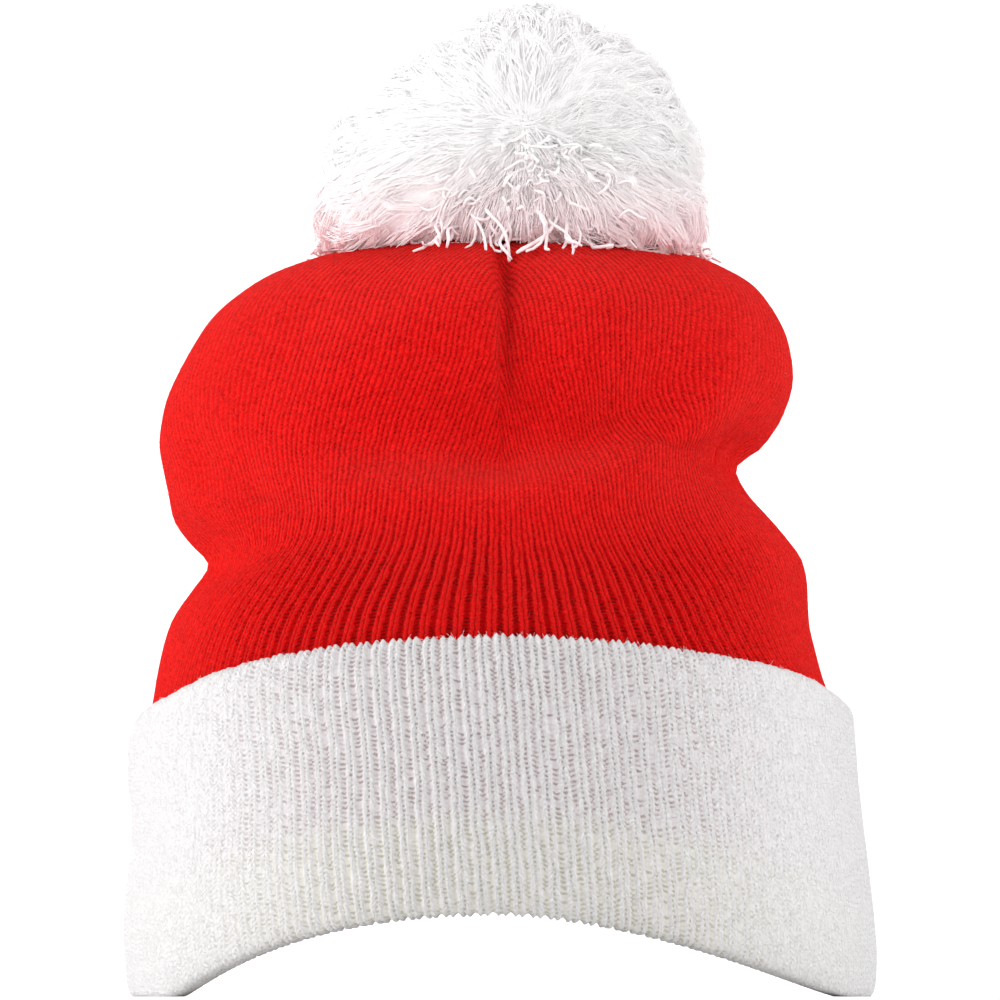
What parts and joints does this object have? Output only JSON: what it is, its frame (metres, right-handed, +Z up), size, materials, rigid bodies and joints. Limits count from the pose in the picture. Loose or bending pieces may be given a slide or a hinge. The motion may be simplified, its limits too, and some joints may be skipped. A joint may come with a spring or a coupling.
{
  "type": "christmas beanie",
  "caption": "Knitted bobble hat: ribbed red crown with slack folds, wide white turned-up cuff and a fluffy white yarn pompom tied on top.",
  "frame": {"origin": "centre of the bounding box, on the surface that the two sides of the cuff stand on", "axes": "+Z up from the rim to the pompom; the hat's front faces -Y; +X is the right of the hat as seen from the front"},
  "size_m": [0.1866, 0.214, 0.249],
  "materials": {
    "red_knit": "soft matt acrylic rib knit, bright red",
    "white_knit": "soft matt acrylic rib knit, white",
    "pompom_yarn": "loose cut acrylic yarn, white",
    "tie_yarn": "twisted yarn, white"
  },
  "bodies": {
    "root": {"crown": "red_knit", "crown_band": "red_knit", "cuff": "white_knit", "pompom": "pompom_yarn", "pompom_tie": "tie_yarn"}
  },
  "joints": []
}
